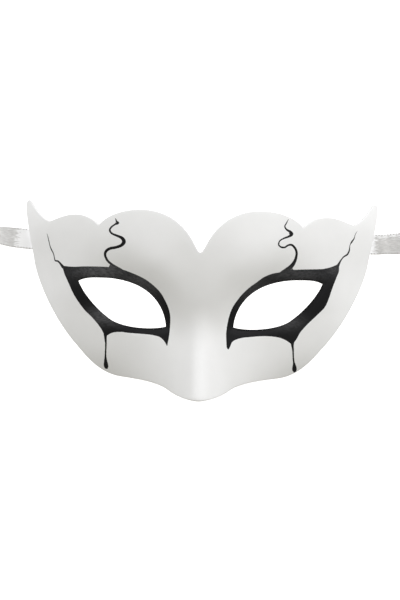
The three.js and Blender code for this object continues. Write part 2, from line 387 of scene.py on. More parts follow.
def face_height(x, y):
    """The height of the outer face over the plane of the mask, before the rims are rolled."""
    a = np.abs(x)
    wrap = WRAP_DEPTH * (a / HALF_WIDTH) ** WRAP_POWER
    forehead = FOREHEAD["lean"] * np.maximum(0, y - FOREHEAD["start"]) ** 2
    past_start = np.maximum(0, y - UPPER_TIP["start"])
    tip = UPPER_TIP["curl"] * past_start**2 * ramp(*UPPER_TIP["fade"], a)
    brow_line = BROW["y"] + BROW["rise"] * (a - BROW["x"])
    brow = np.exp(-(((y - brow_line) / BROW["reach_y"]) ** 2))
    brow = BROW["height"] * brow * ramp(*BROW["inner"], a) * (1 - ramp(*BROW["outer"], a))
    cheek = CHEEK["curl"] * np.maximum(0, CHEEK["start"] - y) ** 2 * ramp(*CHEEK["fade"], a)
    raised = round_form(BETWEEN_BROWS, a, y) + brow + round_form(TEMPLE, a, y) + nose_height(a, y)
    return raised - hollow(SOCKET, x, y) - hollow(LID_VALLEY, x, y) - cheek - wrap - forehead - tip


nose_over_cheek = float(face_height(0, -45) - face_height(30, -38))
print("Nose tip stands", round(nose_over_cheek, 1), "mm over the cheek")

# %% [markdown]
# The outline is a chain of cubic curves for one half, mirrored for the other. The two eye holes
# are mirrored as well: the mould is symmetric, and only the hand painting isn't.

# %% Outline and eye holes
EDGE_STEP = 0.8
OUTLINE_START = (0, 24.8)
OUTLINE = {
    "notch_floor": [(1.2, 24.8), (2.2, 27.0), (3.4, 29.3)],
    "large_lobe_inner": [(7.2, 36.9), (15.6, 47.1), (32.3, 47.1)],
    "large_lobe_outer": [(41.3, 47.1), (50.4, 44.0), (54.2, 38.9)],
    "small_lobe_inner": [(57.0, 41.8), (61.5, 44.9), (67.8, 44.9)],
    "small_lobe_outer": [(73.3, 44.9), (77.9, 42.7), (82.3, 41.4)],
    "tip_inner": [(86.6, 42.9), (91.0, 48.3), (93.5, 52.6)],
    "tip_point": [(94.7, 54.7), (96.5, 54.2), (96.6, 51.3)],
    "side": [(96.3, 44.0), (92.5, 30.5), (91.1, 21.8)],
    "jaw": [(89.0, 8.8), (77.4, -12.6), (65.3, -25.4)],
    "cheek_edge": [(58.4, -33.6), (52.3, -39.3), (43.6, -41.0)],
    "nose_wing": [(38.3, -41.9), (22.5, -42.3), (15.8, -47.4)],
    "nose_tip": [(11.6, -50.3), (5.2, -51.8), (0, -51.8)],
}
EYE_START = (17.1, -14.6)
EYE = {
    "upper_inner": [(17.7, -5.5), (23.0, 2.0), (29.9, 6.1)],
    "upper_middle": [(35.5, 9.6), (44.0, 11.8), (52.5, 11.8)],
    "upper_outer": [(55.6, 11.8), (61.5, 12.4), (65.8, 9.8)],
    "lower_outer": [(63.4, 3.0), (55.9, -5.6), (48.5, -11.0)],
    "lower_inner": [(41.3, -16.2), (24.7, -16.9), (17.1, -14.6)],
}


def mirrored(points):
    """The same line on the other side of the face, in the opposite order."""
    return (points * (-1, 1))[::-1]


half = cubic_chain(OUTLINE_START, OUTLINE.values(), EDGE_STEP)
lowest = np.array([OUTLINE["nose_tip"][-1]], float)
outline = np.vstack([half, lowest, mirrored(half[1:])])[::-1]
eye_right = cubic_chain(EYE_START, EYE.values(), EDGE_STEP)
eye_left = mirrored(eye_right)
print("Outline", len(outline), "points, eye hole", len(eye_right), "points")

# %% [markdown]
# A closed curve splits the face into inside and outside. One function measures how far inside it
# a point is, in millimetres. It serves three ends: the rolled rims, the cut of the sheet and the
# edge of the black paint.

# %% Measuring inside a curve
CHUNK = 4000


def reach_inside(points, loop):
    """How far each point is inside a closed curve, in mm, and negative outside it."""
    start = np.asarray(loop)
    way = np.roll(start, -1, axis=0) - start
    found = []
    for part in np.array_split(points, max(1, len(points) // CHUNK)):
        gap = part[:, None] - start
        t = np.clip((gap * way).sum(2) / (way * way).sum(1), 0, 1)
        near = np.linalg.norm(gap - t[:, :, None] * way, axis=2).min(1)
        above = gap[:, :, 1] < 0
        crosses = above != (np.roll(above, -1, axis=1))
        with np.errstate(divide="ignore", invalid="ignore"):
            meets = start[:, 0] + way[:, 0] * gap[:, :, 1] / way[:, 1]
        inside = (crosses & (part[:, :1] < meets)).sum(1) % 2 == 1
        found.append(np.where(inside, near, -near))
    return np.concatenate(found)


middle = np.array([(0.0, 0.0)])
print("The middle of the face is", reach_inside(middle, outline).round(1), "mm inside the outline")

ROLL_WIDTH = 3.6
ROLL_DEPTH = 1.1
SLOPE_STEP = 0.05


def rolled_height(x, y):
    """The face's height with its eye holes' rims rolled inward."""
    place = np.column_stack([np.abs(x), y])
    gap = np.clip(-reach_inside(place, eye_right), 0, ROLL_WIDTH)
    return face_height(x, y) - ROLL_DEPTH * (1 - gap / ROLL_WIDTH) ** 2


def slopes(height, x, y):
    """How steeply a height rises along X and along Y."""
    e = SLOPE_STEP
    along_x = (height(x + e, y) - height(x - e, y)) / (2 * e)
    along_y = (height(x, y + e) - height(x, y - e)) / (2 * e)
    return along_x, along_y


def shell_frame(points):
    """Outer points and their normals for places on the face."""
    x, y = np.asarray(points).T
    slope_x, slope_y = slopes(rolled_height, x, y)
    normal = np.column_stack([-slope_x, -slope_y, np.ones(len(x))])
    normal /= np.linalg.norm(normal, axis=1)[:, None]
    return np.column_stack([x, y, rolled_height(x, y)]), normal


# %% [markdown]
# The black decoration is painted freehand, so its left and right sides differ. Each eye surround
# is a closed area, given by three brushed edges that meet in corners. The curls, the cracks at the
# outer corners and the drips are strokes: a line of points, each with the width of the brush mark.
# A fit once moved many of these points by fractions of a millimetre, towards the marks
# in the photograph, and that is where the second decimals come from.

# %% Painted areas and strokes
SURROUND = {
    "left": [
        [(73.95, 17.22), (68.4, 16.72), (60.5, 16.92), (53.0, 16.82), (48.3, 16.62),
         (44.8, 16.22), (42.2, 15.7), (38.0, 14.4), (29.4, 10.7), (25.2, 7.8), (20.9, 3.7),
         (18.7, 0.1), (16.6, -4.3), (15.6, -8.6), (15.6, -13.3), (16.0, -18.5), (16.9, -24.0)],
        [(16.9, -24.0), (18.4, -21.5), (20.6, -19.6), (24.9, -18.5), (37.7, -17.6), (42.0, -17.2),
         (46.4, -17.8), (50.0, -19.7)],
        [(50.0, -19.7), (52.68, -15.08), (57.18, -9.88), (61.48, -5.78), (65.95, 0.1),
         (68.15, 3.8), (70.45, 8.6), (72.75, 13.4), (73.95, 17.22)],
    ],
    "right": [
        [(73.6, 20.2), (70.2, 18.7), (65.6, 17.4), (59.1, 17.0), (52.6, 16.7), (48.3, 16.4),
         (46.5, 16.2), (41.9, 15.1), (37.7, 14.2), (33.5, 12.4), (29.4, 9.4), (25.1, 6.1),
         (21.0, 1.8), (16.9, -4.5), (14.9, -11.4), (14.2, -16.6), (14.3, -21.6), (14.6, -24.7),
         (15.2, -25.47)],
        [(15.2, -25.47), (15.9, -24.27), (17.3, -21.37), (21.4, -19.57), (25.6, -18.97),
         (34.0, -18.37), (40.5, -18.77), (44.7, -19.97), (49.2, -22.7)],
        [(49.2, -22.7), (51.2, -20.0), (53.3, -16.2), (57.68, -11.3), (61.98, -7.2),
         (66.28, -2.7), (68.28, 1.6), (70.48, 8.1), (72.58, 13.5), (73.78, 16.7), (73.6, 20.2)],
    ],
}
STROKES = {
    "left": {
        "curl": [
            (45.0, 42.23, 0.37), (44.3, 40.63, 0.85), (43.6, 39.93, 1.34), (45.19, 39.15, 0.84),
            (47.16, 37.71, 0.87), (48.03, 36.17, 0.89), (46.8, 34.43, 0.96), (43.37, 32.98, 1.23),
            (41.18, 31.87, 1.63), (40.2, 30.05, 2.0), (41.37, 28.34, 1.61), (44.42, 27.13, 1.42),
            (47.94, 26.43, 1.43), (49.8, 25.12, 1.43), (50.36, 23.41, 1.29), (49.19, 20.4, 1.18),
            (46.64, 18.1, 1.22), (44.11, 16.6, 1.31), (41.6, 15.2, 1.4),
        ],
        "crack": [
            (73.8, 16.8, 1.58), (75.5, 18.8, 0.96), (76.8, 19.9, 0.86), (78.2, 20.1, 0.66),
            (78.8, 22.05, 0.43), (79.4, 24.09, 0.47), (80.6, 26.24, 0.57), (81.4, 28.17, 0.41),
            (82.1, 30.88, 0.4), (83.0, 34.05, 0.22), (83.4, 34.95, 0.09),
        ],
        "drip": [
            (50.0, -19.0, 1.8), (49.9, -21.01, 1.3), (49.7, -23.84, 0.9), (49.8, -27.68, 0.8),
            (49.9, -30.92, 1.0), (49.8, -33.57, 1.9), (49.7, -35.2, 2.4), (49.5, -36.32, 2.2),
        ],
    },
    "right": {
        "curl": [
            (45.87, 43.05, 0.26), (44.77, 40.95, 0.52), (43.96, 39.26, 0.62),
            (45.14, 37.57, 0.94), (47.22, 36.38, 1.37), (47.8, 35.3, 1.59), (46.28, 34.11, 1.07),
            (43.37, 32.92, 0.75), (41.26, 31.45, 0.64), (40.84, 29.67, 0.7), (41.93, 28.49, 0.8),
            (43.92, 28.29, 0.86), (46.14, 29.57, 0.91), (47.84, 29.67, 1.07), (49.62, 28.0, 1.18),
            (50.5, 25.74, 1.18), (50.18, 22.79, 1.39), (49.1, 20.2, 1.79), (47.44, 18.1, 2.17),
            (45.18, 16.3, 2.33), (43.1, 14.9, 2.2),
        ],
        "crack": [
            (73.2, 19.19, 1.5), (74.95, 22.37, 0.72), (76.43, 24.24, 0.63), (78.61, 25.7, 0.83),
            (79.59, 27.69, 0.71), (79.96, 30.61, 0.35), (80.96, 32.45, 0.75), (82.26, 34.28, 0.5),
            (82.86, 36.42, 0.25), (84.06, 38.32, 0.1),
        ],
        "drip": [
            (49.2, -21.5, 2.0), (49.29, -23.28, 1.4), (49.66, -26.05, 0.9), (49.92, -30.2, 0.8),
            (50.32, -32.78, 1.08), (50.62, -34.77, 2.05), (50.72, -35.86, 2.42),
            (50.72, -36.76, 2.23),
        ],
    },
}
# Places where the brush ran dry, and where a painted sheen lightens the black to grey: x, y,
# how far it reaches in x and in y, and how strong the thin paint and painted sheen are there
DRY_BRUSH_AND_SHEEN = {
    "left": [(52, 14.5, 15, 4.5, 1.0), (50, -9, 10, 4.5, 0.9), (30, 10, 16, 7, 0.6)],
    "right": [
        (50, 14.5, 18, 4, 0.52), (71, 17.5, 6, 4, 0.5), (47, -11, 8, 4, 0.5), (28, 7, 14, 8, 0.35),
    ],
}
SIDES = {"left": -1, "right": 1}
BRUSH_SPREAD = 0.15
SURROUND_STEP = 0.8
STROKE_STEP = 0.45


def reach_in_stroke(points, stroke):
    """How far each point is inside a brush stroke, in mm, and negative outside it."""
    start, end = stroke[:-1], stroke[1:]
    way = end[:, :2] - start[:, :2]
    found = []
    for part in np.array_split(points, max(1, len(points) // CHUNK)):
        gap = part[:, None] - start[:, :2]
        t = np.clip((gap * way).sum(2) / (way * way).sum(1), 0, 1)
        far = np.linalg.norm(gap - t[:, :, None] * way, axis=2)
        width = start[:, 2] + t * (end[:, 2] - start[:, 2])
        found.append((width / 2 - far).max(1))
    return np.concatenate(found)


areas, strokes = [], []
for name, side in SIDES.items():
    edges = [smooth_curve(edge, SURROUND_STEP)[:-1] for edge in SURROUND[name]]
    areas.append(np.vstack(edges) * (side, 1))
    for stroke in STROKES[name].values():
        strokes.append(smooth_curve(stroke, STROKE_STEP) * (side, 1, 1))


def paint_reach(points):
    """How far each place is inside the black paint, in mm."""
    inside = [reach_inside(points, area) + BRUSH_SPREAD for area in areas]
    inside += [reach_in_stroke(points, stroke) for stroke in strokes]
    return np.max(inside, axis=0)


def thin_paint_and_sheen_at(points):
    """How far the black turns grey, from 0 where it is thick to 1 where the brush ran dry and where
    sheen is painted.
    """
    found = np.zeros(len(points))
    for name, side in SIDES.items():
        for x, y, reach_x, reach_y, thin in DRY_BRUSH_AND_SHEEN[name]:
            far = ((points[:, 0] - side * x) / reach_x) ** 2 + ((points[:, 1] - y) / reach_y) ** 2
            found = np.maximum(found, thin * np.exp(-far))
    return found


print(len(areas), "painted areas and", len(strokes), "strokes")

# %% [markdown]
# The shell could be a grid bent onto the face, but then its edges and the paint's edges would be
# steps. Here it is cut like a paper pattern instead. The sheet is unrolled along X, so that
# the steep sides get as many points as the middle. A Delaunay triangulation then joins an even
# field of points with the outline, the eye holes and both sides of every brush mark.

# %% Unrolling the sheet
PROFILE_REACH = 110.0
PROFILE_POINTS = 2201

profile_x = np.linspace(0, PROFILE_REACH, PROFILE_POINTS)
profile_slope = WRAP_DEPTH * WRAP_POWER / HALF_WIDTH * (profile_x / HALF_WIDTH) ** (WRAP_POWER - 1)
profile_rise = np.sqrt(1 + profile_slope**2)
profile_step = (profile_rise[1:] + profile_rise[:-1]) / 2 * np.diff(profile_x)
profile_u = np.concatenate([[0], np.cumsum(profile_step)])


def unroll(points):
    """Places on the face as places on the unrolled sheet."""
    x, y = np.asarray(points).T
    return np.column_stack([np.sign(x) * np.interp(np.abs(x), profile_x, profile_u), y])


def roll_up(points):
    """Places on the unrolled sheet as places on the face."""
    u, y = np.asarray(points).T
    return np.column_stack([np.sign(u) * np.interp(np.abs(u), profile_u, profile_x), y])


def stroke_guides(stroke):
    """The two sides and the middle of a brush stroke as lines on the face."""
    way = np.gradient(stroke[:, :2], axis=0)
    way /= np.linalg.norm(way, axis=1)[:, None]
    side = np.column_stack([-way[:, 1], way[:, 0]]) * stroke[:, 2:] / 2
    return [stroke[:, :2] + side, stroke[:, :2], stroke[:, :2] - side]


sheet_half = float(np.interp(outline[:, 0].max(), profile_x, profile_u))
print("The sheet is", round(2 * sheet_half, 1), "mm wide when unrolled")

# %% [markdown]
# The inner face lies 2 mm under the outer one, measured square to it. The side edges are trimmed
# square to the sheet as well, but the eye holes are punched straight through from the front, so
# that a wearer sees well. Near a hole each inner point therefore lies straight under its outer one.

# %% Inner face
PUNCH_NEAR = 2.0
PUNCH_FAR = 12.0
PUNCH_PASSES = 4


def face_tilt(places):
    """How far the plain face's normal tips along X and Y."""
    slope_x, slope_y = slopes(face_height, *places.T)
    return -np.column_stack([slope_x, slope_y]) / np.sqrt(1 + slope_x**2 + slope_y**2)[:, None]


def inner_face(places):
    """Points of the inner face for places on the sheet."""
    gap = -reach_inside(np.column_stack([np.abs(places[:, 0]), places[:, 1]]), eye_right)
    straight = 1 - ramp(PUNCH_NEAR, PUNCH_FAR, gap)[:, None]
    under = places
    for _ in range(PUNCH_PASSES):
        under = places + face_tilt(under) * SHELL_THICKNESS * straight
    point, normal = shell_frame(under)
    return point - normal * SHELL_THICKNESS


print("Inner face at the middle:", inner_face(middle).round(2))

# %% [markdown]
# The rim of each hole and of the outline is a rounded wall. It leaves the outer face in a quarter
# round, goes down to the inner face and comes back in another quarter round. Both faces therefore
# start a little inside the cut line. Two small values set where each edge ends: the outline's a
# little past that line, each hole's a little short of it.

# %% Rims
RIM_ROUND = 0.6
ROUND_STEPS = 4
OUTLINE_BULGE = 0.2
HOLE_BULGE = -0.15


def rim_rows(loop, outward, bulge):
    """The faces' own border, and rows of points from the outer face round to the inner one."""
    point, normal = shell_frame(loop)
    along = np.roll(point, -1, axis=0) - np.roll(point, 1, axis=0)
    inward = np.cross(normal, along) * outward
    inward /= np.linalg.norm(inward, axis=1)[:, None]
    border = loop + inward[:, :2] * (RIM_ROUND - bulge)
    wall = inner_face(loop) - point
    rows = []
    for angle in np.linspace(0, math.pi / 2, ROUND_STEPS + 1)[1:]:
        out = RIM_ROUND * (1 - math.sin(angle)) - bulge
        down = RIM_ROUND * (1 - math.cos(angle)) / SHELL_THICKNESS
        rows.append((out, down))
    rows += [(out, 1 - down) for out, down in reversed(rows)]
    return border, [point + inward * out + wall * down for out, down in rows]


rims = [(outline, 1, OUTLINE_BULGE), (eye_right, -1, HOLE_BULGE), (eye_left, -1, HOLE_BULGE)]
borders, walls = zip(*[rim_rows(*rim) for rim in rims])
print("Each rim has", len(walls[0]), "rows")

# %% [markdown]
# The rolled lids bend the sheet most, so rows of points follow each eye hole there. An even field,
# staggered like bricks, fills the rest of the sheet. Points too near a cut or a brush line are
# left out, because they would make slivers.

# %% Field of points
FIELD_STEP = 1.15
GUIDE_GAP = 0.65
LID_GAP = 0.4
RIM_GAP = 0.5
LID_ROWS = (1.35, 2.0, 2.7, 3.5, 4.4)
CORNER_FAN = (0.5, 0, 1, 0.25, 0.75)
ROW_TOLERANCE = 0.02
ROW_SPACING = EDGE_STEP * 0.85
FIELD_HALF_WIDTH = 98.0
FIELD_LOW = -54
FIELD_HIGH = 56


def clear_of(points, others, gap):
    """Which points stand clear of all others by a gap."""
    found = []
    for part in np.array_split(points, max(1, len(points) // CHUNK)):
        found.append(np.linalg.norm(part[:, None] - others, axis=2).min(1) > gap)
    return np.concatenate(found)


def within_sheet(points, margin):
    """Which places are on the sheet, at least a margin inside its borders."""
    inside = reach_inside(points, borders[0]) > margin
    for hole in borders[1:]:
        inside &= reach_inside(points, hole) < -margin
    return inside


def spread_out(points, gap):
    """Leaves out points that stand closer than a gap to one already kept."""
    kept = points[:1]
    for point in points[1:]:
        if np.linalg.norm(kept - point, axis=1).min() > gap:
            kept = np.vstack([kept, point])
    return kept


def lid_rows(loop):
    """Even rows of points round an eye hole, with a fan of them at its sharp corners."""
    way = np.roll(loop, -1, axis=0) - loop
    after = np.column_stack([way[:, 1], -way[:, 0]]) / np.linalg.norm(way, axis=1)[:, None]
    before = np.roll(after, 1, axis=0)
    rows = []
    for gap in LID_ROWS:
        row = []
        for share in CORNER_FAN:
            normal = before * (1 - share) + after * share
            row.append(loop + normal / np.linalg.norm(normal, axis=1)[:, None] * gap)
        row = np.vstack(row)
        row = row[np.abs(reach_inside(row, loop) + gap) < ROW_TOLERANCE]
        rows.append(spread_out(row, ROW_SPACING))
    return np.vstack(rows)


brush_lines = [np.vstack([area, area[:1]]) for area in areas]
for stroke in strokes:
    brush_lines += stroke_guides(stroke)
guides = []
for line in brush_lines:
    kept = within_sheet(line, RIM_GAP)
    for run in np.split(np.arange(len(line)), np.flatnonzero(~kept)):
        run = run[kept[run]]
        if len(run) > 1:
            guides.append(line[run])
half_u = float(np.interp(FIELD_HALF_WIDTH, profile_x, profile_u))
rows = []
for k, y in enumerate(np.arange(FIELD_LOW, FIELD_HIGH, FIELD_STEP * math.sqrt(3) / 2)):
    u = np.arange(-half_u, half_u, FIELD_STEP) + (k % 2) * FIELD_STEP / 2
    rows.append(np.column_stack([u, np.full(len(u), y)]))
field = np.vstack(rows)
field = field[within_sheet(roll_up(field), FIELD_STEP / 2)]
fixed = unroll(np.vstack([*borders, *guides]))
lids = unroll(lid_rows(eye_right))
lids = np.vstack([lids, lids * (-1, 1)])
lids = lids[clear_of(lids, fixed, LID_GAP)]
field = field[clear_of(field, np.vstack([fixed, lids]), GUIDE_GAP)]
field = np.vstack([lids, field])
print(len(field), "field points and", len(fixed), "points on", len(guides), "guides and 3 borders")

# %% [markdown]
# The triangulation joins all these points and keeps the cuts and the brush lines as edges. What
# lies over a hole or outside the outline falls away, like offcuts under a knife.

# %% Cutting and joining the sheet
SAME_POINT = 1e-6

points = [Vector(p) for p in fixed] + [Vector(p) for p in field]
edges = []
first = 0
for line, closed in [(b, True) for b in borders] + [(g, False) for g in guides]:
    numbers = list(range(first, first + len(line)))
    edges += list(zip(numbers, numbers[1:] + numbers[:1] if closed else numbers[1:]))
    first += len(line)
sheet, _, triangles, came_from, _, _ = delaunay_2d_cdt(points, edges, [], 0, SAME_POINT)
sheet = roll_up(np.array([tuple(p) for p in sheet]))
triangles = np.array([t for t in triangles if len(t) == 3])
triangles = triangles[within_sheet(sheet[triangles].mean(1), 0)]
new_number = {old: new for new, olds in enumerate(came_from) for old in olds}
print(len(sheet), "points and", len(triangles), "triangles on each face")

# %% [markdown]
# The pressed shell has one wall with two faces. The cut sheet serves twice, as the outer face and,
# turned over, as the inner one, and the rows of each rim join the two. The piece is closed all
# round, so the full thickness of its wall shows wherever one looks into a hole.

# %% Building the shell
outer, _ = shell_frame(sheet)
inner = inner_face(sheet)
points = [outer, *[row for wall in walls for row in wall], inner]
inner_first = sum(len(p) for p in points[:-1])
faces = [tuple(t) for t in triangles] + [tuple(t[::-1] + inner_first) for t in triangles]
rim_first = len(outer)
loop_first = 0
rim_faces = []
for (loop, *_), wall in zip(rims, walls):
    count = len(loop)
    top = [new_number[loop_first + i] for i in range(count)]
    rings = [top]
    for k in range(len(wall)):
        rings.append([rim_first + k * count + i for i in range(count)])
    rings.append([t + inner_first for t in top])
    for upper, lower in zip(rings, rings[1:]):
        for i in range(count):
            j = (i + 1) % count
            rim_faces.append((upper[i], lower[i], lower[j], upper[j]))
    rim_first += len(wall) * count
    loop_first += count
on_table = lay_down(np.vstack(points))
on_table[:, 2] = np.maximum(on_table[:, 2], 0)
shell = make_piece("mask_shell_fine", on_table, faces + rim_faces)
print(len(shell.data.polygons), "faces, box", [round(v, 4) for v in shell.dimensions])

# %% [markdown]
# The finish has to know where each point lies. Four numbers are kept for every point: how far it
# is inside the black paint, how much it turns grey from thin dry-brushed paint and from a painted
# sheen, how far it is from the nearest rim, and whether it is on the inner face. The paint laps over
# the rims and ends on the inner face, as it does when a brush goes round.

# %% Numbers for the finish
REACH_LIMIT = 6.0
rim_places = [np.tile(loop, (len(wall), 1)) for (loop, *_), wall in zip(rims, walls)]
places = np.vstack([sheet, *rim_places])
reach = np.clip(paint_reach(places), -REACH_LIMIT, REACH_LIMIT)
from_rim = np.min([np.abs(reach_inside(sheet, loop)) for loop, *_ in rims], axis=0)
rim_count = len(places) - len(sheet)
write_numbers(shell, "paint_reach", np.concatenate([reach, reach[:len(sheet)]]))
# Lighter grey on the black: thin paint where the brush ran dry, and painted sheen.
thin_paint_and_sheen_values = thin_paint_and_sheen_at(places)
write_numbers(shell, "thin_paint_and_sheen", np.concatenate([thin_paint_and_sheen_values, thin_paint_and_sheen_values[:len(sheet)]]))
write_numbers(shell, "from_rim", np.concatenate([from_rim, np.zeros(rim_count), from_rim]))
write_numbers(shell, "inner_face", np.concatenate([np.zeros(len(places)), np.ones(len(sheet))]))
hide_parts("mask_shell")
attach(shell, "root")
print("Black paint covers", round(float((reach > 0).mean()), 2), "of the points")

# %% [markdown]
# Finishes. Colours are written as sRGB hex, the way a paint maker gives them, and turned to linear
# values by one function. A second one adds a shader node with its settings and links.

# %% Shader helpers
def linear(colour):
    """An sRGB hex colour as linear red, green, blue and alpha."""
    parts = [int(colour[i:i + 2], 16) / 255 for i in (1, 3, 5)]
    return (*[p / 12.92 if p <= 0.04045 else ((p + 0.055) / 1.055) ** 2.4 for p in parts], 1)


def add_node(tree, kind, settings=None, **inputs):
    """Adds a node. A setting is its attribute, an input a value or another node's output."""
    node = tree.nodes.new(kind)
    for key, value in (settings or {}).items():
        setattr(node, key, value)
    for key, value in inputs.items():
        place = int(key[1:]) if key[1:].isdigit() else key.replace("_", " ")
        socket = node.inputs[place]
        if isinstance(value, bpy.types.NodeSocket):
            tree.links.new(value, socket)
        else:
            socket.default_value = value
    return node


def new_material(name):
    """An empty material, its nodes, and its surface, joined to the output."""
    material = bpy.data.materials.new(name)
    material.use_nodes = True
    tree = material.node_tree
    tree.nodes.clear()
    surface = tree.nodes.new("ShaderNodeBsdfPrincipled")
    output = tree.nodes.new("ShaderNodeOutputMaterial")
    tree.links.new(surface.outputs[0], output.inputs[0])
    return material, tree, surface


print("Half grey is", round(linear("#808080")[0], 3), "in linear light")

# %% [markdown]
# Paint and satin are made of the same few kinds of node: a number kept for each point, a step of
# arithmetic, cloudy noise, a change of range, a mix and fine relief. One short function for each
# keeps the finishes readable, and gives back the output that the next one needs.

# %% Kinds of node
def read_number(tree, name):
    """One of the numbers kept for each point of the piece."""
    return add_node(tree, "ShaderNodeAttribute", {"attribute_name": name}).outputs["Fac"]


def calculate(tree, operation, *values):
    """One step of arithmetic on numbers or on other nodes' outputs."""
    inputs = {f"_{i}": value for i, value in enumerate(values)}
    return add_node(tree, "ShaderNodeMath", {"operation": operation}, **inputs).outputs[0]


def noise(tree, place, size, detail, distortion=0.0):
    """Cloudy noise with lumps of about the given size."""
    return add_node(
        tree, "ShaderNodeTexNoise",
        Vector=place, Scale=1 / size, Detail=detail, Distortion=distortion,
    ).outputs["Fac"]


def spread(tree, value, span, onto=(0.0, 1.0), way="LINEAR"):
    """Spreads the numbers of a span over another one, from 0 to 1 unless told otherwise."""
    return add_node(
        tree, "ShaderNodeMapRange", {"interpolation_type": way},
        Value=value, From_Min=span[0], From_Max=span[1], To_Min=onto[0], To_Max=onto[1],
    ).outputs["Result"]


def mix_colours(tree, share, first, second):
    """The first colour where the share is 0, the second where it is 1."""
    node = add_node(tree, "ShaderNodeMix", {"data_type": "RGBA"}, _0=share, _6=first, _7=second)
    return node.outputs[2]


def mix_numbers(tree, share, first, second):
    """The same for two numbers."""
    node = add_node(tree, "ShaderNodeMix", {"data_type": "FLOAT"}, _0=share, _2=first, _3=second)
    return node.outputs[0]


def relief(tree, height, strength, distance, **under):
    """Fine relief that only tilts the light, on top of the relief under it, if any."""
    return add_node(
        tree, "ShaderNodeBump", Height=height, Strength=strength, Distance=distance, **under,
    ).outputs[0]


# %% [markdown]
# Off-white acrylic over gesso: smooth and a little soft, with a broad, dull sheen. The gesso was
# sanded, so only a faint waviness and fine brush lines are left. The black is artist's acrylic put
# on with a small brush. It has a slightly uneven edge, and it turns charcoal grey and streaky
# where the brush ran dry; in broad patches on the eye surrounds the same grey is a sheen painted
# into the black. Inside, the raw paper pulp shows, grey-beige, matt and fibrous. A
# picture could be laid over the face, but these areas and noises stay sharp at any size.

# %% Painted shell material
WHITE_PAINT = "#F1F1F0"
WHITE_SHADE = "#EAEAE9"
BLACK_PAINT = "#0C0C0E"
BLACK_THIN_AND_SHEEN = "#5A5A5C"
RAW_PULP = "#C9C3B6"
RAW_FIBRE = "#B1A998"
WAVINESS = 14.0 * MM
BRUSH_LINE = 0.9 * MM
BRUSH_LENGTH = (0.18, 1, 1)  # brush lines are drawn out along X
EDGE_WANDER = 0.9 * MM
EDGE_UNEVEN = 0.24
BLACK_EDGE = (-0.1, 0.05)
STREAK_NOISE = (0.3, 0.7)
STREAK_THIN = (0.4, 1.3)
FIBRE = 1.6 * MM
FIBRE_CURL = 1.5
LAP_UNEVEN = -5.0
LAP_EDGE = (-0.6, -0.3)

painted, tree, surface = new_material("dull_acrylic_on_gesso")
place = add_node(tree, "ShaderNodeTexCoord").outputs["Object"]
wander = noise(tree, place, EDGE_WANDER, detail=2.0)
uneven = calculate(tree, "MULTIPLY_ADD", wander, EDGE_UNEVEN, -EDGE_UNEVEN / 2)
black_reach = calculate(tree, "ADD", read_number(tree, "paint_reach"), uneven)
black_at = spread(tree, black_reach, BLACK_EDGE, way="SMOOTHSTEP")
waves = noise(tree, place, WAVINESS, detail=3.0)
white = mix_colours(tree, waves, linear(WHITE_PAINT), linear(WHITE_SHADE))

drawn_out = add_node(tree, "ShaderNodeMapping", Vector=place, Scale=BRUSH_LENGTH).outputs[0]
lines = noise(tree, drawn_out, BRUSH_LINE, detail=4.0)
streaky = spread(tree, lines, STREAK_NOISE, STREAK_THIN)
# The grey in the black is thin dry-brushed paint and also a painted sheen.
thin = calculate(tree, "MULTIPLY", read_number(tree, "thin_paint_and_sheen"), streaky)
black = mix_colours(tree, thin, linear(BLACK_PAINT), linear(BLACK_THIN_AND_SHEEN))
paint = mix_colours(tree, black_at, white, black)

fibres = noise(tree, place, FIBRE, detail=6.0, distortion=FIBRE_CURL)
pulp = mix_colours(tree, fibres, linear(RAW_PULP), linear(RAW_FIBRE))
lap = calculate(tree, "MULTIPLY_ADD", waves, LAP_UNEVEN, read_number(tree, "from_rim"))
past_lap = spread(tree, lap, LAP_EDGE, way="SMOOTHSTEP")
raw_at = calculate(tree, "MULTIPLY", past_lap, read_number(tree, "inner_face"))
tree.links.new(mix_colours(tree, raw_at, paint, pulp), surface.inputs["Base Color"])
print("Paint and pulp take", len(tree.nodes), "nodes")

# %% [markdown]
# Both paints dry equally dull, so one roughness serves them, a little rougher along the brush
# lines. The raw pulp is rougher still. The relief is far too fine for real mesh: the soft waves of
# the gesso, the lines of the brush and the fibres of the pulp, one on top of the other.

# %% Sheen and relief of the shell
PAINT_ROUGHNESS = 0.55
RAW_ROUGHNESS = 0.9
LINE_ROUGHNESS = 0.1
ACRYLIC_IOR = 1.49
SHINE = 0.17
WAVE_HEIGHT = 0.25 * MM
LINE_HEIGHT = 0.02 * MM
PAINT_RELIEF = 0.25
FIBRE_HEIGHT = 0.3 * MM
FIBRE_RELIEF = 0.8

rough = mix_numbers(tree, raw_at, PAINT_ROUGHNESS, RAW_ROUGHNESS)
rough_lines = calculate(tree, "MULTIPLY_ADD", lines, LINE_ROUGHNESS, -LINE_ROUGHNESS / 2)
rough_all = calculate(tree, "ADD", rough, rough_lines)
tree.links.new(rough_all, surface.inputs["Roughness"])
surface.inputs["IOR"].default_value = ACRYLIC_IOR
surface.inputs["Specular IOR Level"].default_value = SHINE
wavy = relief(tree, waves, PAINT_RELIEF, WAVE_HEIGHT)
brushed = relief(tree, lines, PAINT_RELIEF, LINE_HEIGHT, Normal=wavy)
fibre_height = calculate(tree, "MULTIPLY", fibres, raw_at)
fibrous = relief(tree, fibre_height, FIBRE_RELIEF, FIBRE_HEIGHT, Normal=brushed)
tree.links.new(fibrous, surface.inputs["Normal"])
shell.data.materials.append(painted)
print("Shell material has", len(tree.nodes), "nodes")
